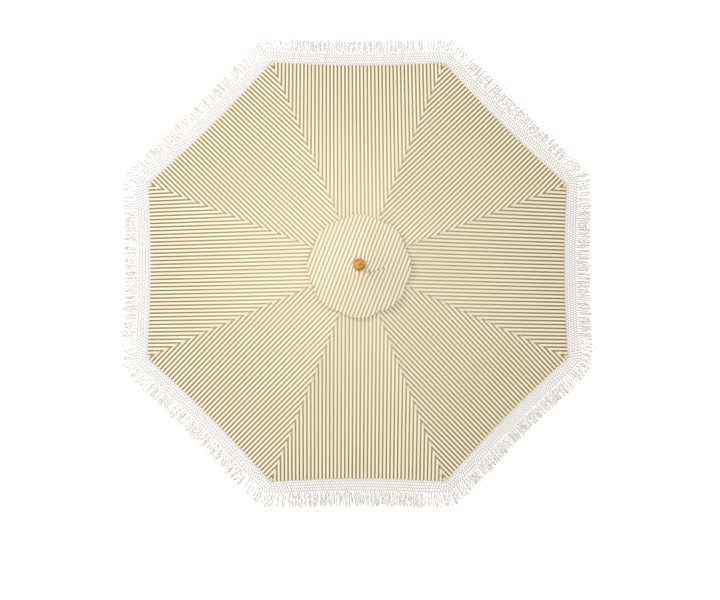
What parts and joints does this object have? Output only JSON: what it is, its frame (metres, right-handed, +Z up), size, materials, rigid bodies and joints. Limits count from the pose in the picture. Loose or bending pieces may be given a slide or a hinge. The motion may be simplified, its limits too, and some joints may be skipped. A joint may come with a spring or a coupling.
{
  "type": "beach umbrella",
  "caption": "Octagonal striped parasol with a vented top, knotted fringe, turned finial, folding timber ribs and a two-part pole.",
  "frame": {"origin": "bottom centre of the pole's foot", "axes": "+Z up along the pole; the mid-lines of four canopy gores lie on +X, +Y, -X and -Y"},
  "size_m": [3.1346, 3.1346, 2.5012],
  "materials": {
    "timber": "satin oiled hardwood",
    "finial_timber": "varnished orange-brown hardwood",
    "brass": "brushed",
    "canopy_cloth": "woven cotton canvas, cream and tan stripes",
    "fringe_cotton": "knotted off-white cotton"
  },
  "bodies": {
    "base": {"pole_lower": "timber", "pole_ferrule": "brass"},
    "mast": {"pole_upper": "timber", "crown_hub": "timber", "crown_pins": "brass", "finial_stud": "brass", "cap_washer": "brass", "finial": "finial_timber", "vent_cap": "canopy_cloth"},
    "runner": {"runner_hub": "timber", "runner_sleeve": "brass"},
    "clamp": {"clamp_screw": "brass"},
    "rib_1": {"rib_1": "timber", "rib_bracket_1": "brass", "canopy_panel_1": "canopy_cloth", "fringe_1": "fringe_cotton"},
    "strut_1": {"strut_1": "timber", "strut_fitting_1": "brass"},
    "rib_2": {"rib_2": "timber", "rib_bracket_2": "brass", "canopy_panel_2": "canopy_cloth", "fringe_2": "fringe_cotton"},
    "strut_2": {"strut_2": "timber", "strut_fitting_2": "brass"},
    "rib_3": {"rib_3": "timber", "rib_bracket_3": "brass", "canopy_panel_3": "canopy_cloth", "fringe_3": "fringe_cotton"},
    "strut_3": {"strut_3": "timber", "strut_fitting_3": "brass"},
    "rib_4": {"rib_4": "timber", "rib_bracket_4": "brass", "canopy_panel_4": "canopy_cloth", "fringe_4": "fringe_cotton"},
    "strut_4": {"strut_4": "timber", "strut_fitting_4": "brass"},
    "rib_5": {"rib_5": "timber", "rib_bracket_5": "brass", "canopy_panel_5": "canopy_cloth", "fringe_5": "fringe_cotton"},
    "strut_5": {"strut_5": "timber", "strut_fitting_5": "brass"},
    "rib_6": {"rib_6": "timber", "rib_bracket_6": "brass", "canopy_panel_6": "canopy_cloth", "fringe_6": "fringe_cotton"},
    "strut_6": {"strut_6": "timber", "strut_fitting_6": "brass"},
    "rib_7": {"rib_7": "timber", "rib_bracket_7": "brass", "canopy_panel_7": "canopy_cloth", "fringe_7": "fringe_cotton"},
    "strut_7": {"strut_7": "timber", "strut_fitting_7": "brass"},
    "rib_8": {"rib_8": "timber", "rib_bracket_8": "brass", "canopy_panel_8": "canopy_cloth", "fringe_8": "fringe_cotton"},
    "strut_8": {"strut_8": "timber", "strut_fitting_8": "brass"}
  },
  "joints": [
    {"name": "mast_lift", "type": "slide", "parent": "base", "child": "mast", "axis": [0, 0, 1], "range_m": [0, 0.1]},
    {"name": "runner_slide", "type": "slide", "parent": "mast", "child": "runner", "axis": [0, 0, 1], "range_m": [-0.811, 0], "deforming": ["vent_cap"]},
    {"name": "clamp_turn", "type": "hinge", "parent": "runner", "child": "clamp", "pos_m": [0.058, 0, 1.80827], "axis": [1, 0, 0], "range_deg": [0, 360]},
    {"name": "rib_1_fold", "type": "hinge", "parent": "mast", "child": "rib_1", "pos_m": [0.0425, 0.0176, 2.36], "axis": [-0.3827, 0.9239, 0], "range_deg": [0, 67], "deforming": ["canopy_panel_1", "fringe_1"]},
    {"name": "rib_2_fold", "type": "hinge", "parent": "mast", "child": "rib_2", "pos_m": [0.0176, 0.0425, 2.36], "axis": [-0.9239, 0.3827, 0], "range_deg": [0, 67], "deforming": ["canopy_panel_2", "fringe_2"]},
    {"name": "rib_3_fold", "type": "hinge", "parent": "mast", "child": "rib_3", "pos_m": [-0.0176, 0.0425, 2.36], "axis": [-0.9239, -0.3827, 0], "range_deg": [0, 67], "deforming": ["canopy_panel_3", "fringe_3"]},
    {"name": "rib_4_fold", "type": "hinge", "parent": "mast", "child": "rib_4", "pos_m": [-0.0425, 0.0176, 2.36], "axis": [-0.3827, -0.9239, 0], "range_deg": [0, 67], "deforming": ["canopy_panel_4", "fringe_4"]},
    {"name": "rib_5_fold", "type": "hinge", "parent": "mast", "child": "rib_5", "pos_m": [-0.0425, -0.0176, 2.36], "axis": [0.3827, -0.9239, 0], "range_deg": [0, 67], "deforming": ["canopy_panel_5", "fringe_5"]},
    {"name": "rib_6_fold", "type": "hinge", "parent": "mast", "child": "rib_6", "pos_m": [-0.0176, -0.0425, 2.36], "axis": [0.9239, -0.3827, 0], "range_deg": [0, 67], "deforming": ["canopy_panel_6", "fringe_6"]},
    {"name": "rib_7_fold", "type": "hinge", "parent": "mast", "child": "rib_7", "pos_m": [0.0176, -0.0425, 2.36], "axis": [0.9239, 0.3827, 0], "range_deg": [0, 67], "deforming": ["canopy_panel_7", "fringe_7"]},
    {"name": "rib_8_fold", "type": "hinge", "parent": "mast", "child": "rib_8", "pos_m": [0.0425, -0.0176, 2.36], "axis": [0.3827, 0.9239, 0], "range_deg": [0, 67], "deforming": ["canopy_panel_8", "fringe_8"]},
    {"name": "strut_1_fold", "type": "hinge", "parent": "rib_1", "child": "strut_1", "pos_m": [0.59922, 0.24821, 2.11513], "axis": [-0.3827, 0.9239, 0], "range_deg": [-134, 0]},
    {"name": "strut_2_fold", "type": "hinge", "parent": "rib_2", "child": "strut_2", "pos_m": [0.24821, 0.59922, 2.11513], "axis": [-0.9239, 0.3827, 0], "range_deg": [-134, 0]},
    {"name": "strut_3_fold", "type": "hinge", "parent": "rib_3", "child": "strut_3", "pos_m": [-0.24821, 0.59922, 2.11513], "axis": [-0.9239, -0.3827, 0], "range_deg": [-134, 0]},
    {"name": "strut_4_fold", "type": "hinge", "parent": "rib_4", "child": "strut_4", "pos_m": [-0.59922, 0.24821, 2.11513], "axis": [-0.3827, -0.9239, 0], "range_deg": [-134, 0]},
    {"name": "strut_5_fold", "type": "hinge", "parent": "rib_5", "child": "strut_5", "pos_m": [-0.59922, -0.24821, 2.11513], "axis": [0.3827, -0.9239, 0], "range_deg": [-134, 0]},
    {"name": "strut_6_fold", "type": "hinge", "parent": "rib_6", "child": "strut_6", "pos_m": [-0.24821, -0.59922, 2.11513], "axis": [0.9239, -0.3827, 0], "range_deg": [-134, 0]},
    {"name": "strut_7_fold", "type": "hinge", "parent": "rib_7", "child": "strut_7", "pos_m": [0.24821, -0.59922, 2.11513], "axis": [0.9239, 0.3827, 0], "range_deg": [-134, 0]},
    {"name": "strut_8_fold", "type": "hinge", "parent": "rib_8", "child": "strut_8", "pos_m": [0.59922, -0.24821, 2.11513], "axis": [0.3827, 0.9239, 0], "range_deg": [-134, 0]}
  ],
  "couplings": [
    {"joint": "rib_1_fold", "follows": "runner_slide", "rad_per_m": -1.4395},
    {"joint": "rib_2_fold", "follows": "runner_slide", "rad_per_m": -1.4395},
    {"joint": "rib_3_fold", "follows": "runner_slide", "rad_per_m": -1.4395},
    {"joint": "rib_4_fold", "follows": "runner_slide", "rad_per_m": -1.4395},
    {"joint": "rib_5_fold", "follows": "runner_slide", "rad_per_m": -1.4395},
    {"joint": "rib_6_fold", "follows": "runner_slide", "rad_per_m": -1.4395},
    {"joint": "rib_7_fold", "follows": "runner_slide", "rad_per_m": -1.4395},
    {"joint": "rib_8_fold", "follows": "runner_slide", "rad_per_m": -1.4395},
    {"joint": "strut_1_fold", "follows": "runner_slide", "rad_per_m": 2.879},
    {"joint": "strut_2_fold", "follows": "runner_slide", "rad_per_m": 2.879},
    {"joint": "strut_3_fold", "follows": "runner_slide", "rad_per_m": 2.879},
    {"joint": "strut_4_fold", "follows": "runner_slide", "rad_per_m": 2.879},
    {"joint": "strut_5_fold", "follows": "runner_slide", "rad_per_m": 2.879},
    {"joint": "strut_6_fold", "follows": "runner_slide", "rad_per_m": 2.879},
    {"joint": "strut_7_fold", "follows": "runner_slide", "rad_per_m": 2.879},
    {"joint": "strut_8_fold", "follows": "runner_slide", "rad_per_m": 2.879}
  ]
}
